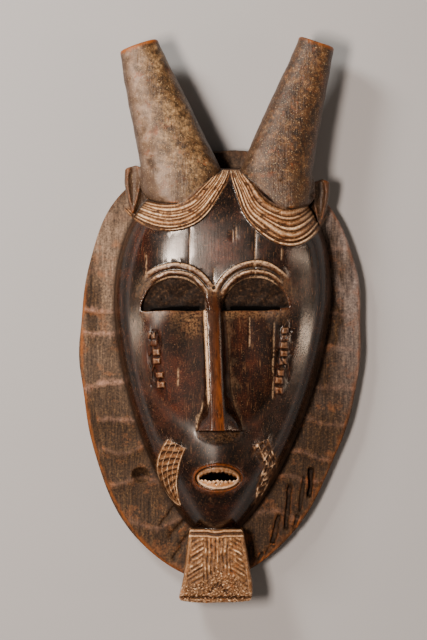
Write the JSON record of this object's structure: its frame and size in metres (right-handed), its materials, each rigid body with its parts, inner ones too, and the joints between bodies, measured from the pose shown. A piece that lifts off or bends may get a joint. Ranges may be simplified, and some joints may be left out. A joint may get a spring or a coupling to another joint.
{
  "type": "baule mask",
  "caption": "Carved wooden face mask lying on its back: egg-shaped head on an oval board, cut-off horns, combed hair, open mouth and flared beard, hollow behind.",
  "frame": {"origin": "under the middle of the mask's overall box, on the plane of the board's flat back, on which it lies", "axes": "+Z out of the face, +Y from the beard to the horns, +X to the right of someone who faces the mask"},
  "size_m": [0.2126, 0.421, 0.0806],
  "materials": {
    "carved_wood": "hand-carved hardwood, dark and polished on the face, matt and dusty on the board and horns"
  },
  "bodies": {
    "root": {"carved_mask": "carved_wood"}
  },
  "joints": []
}
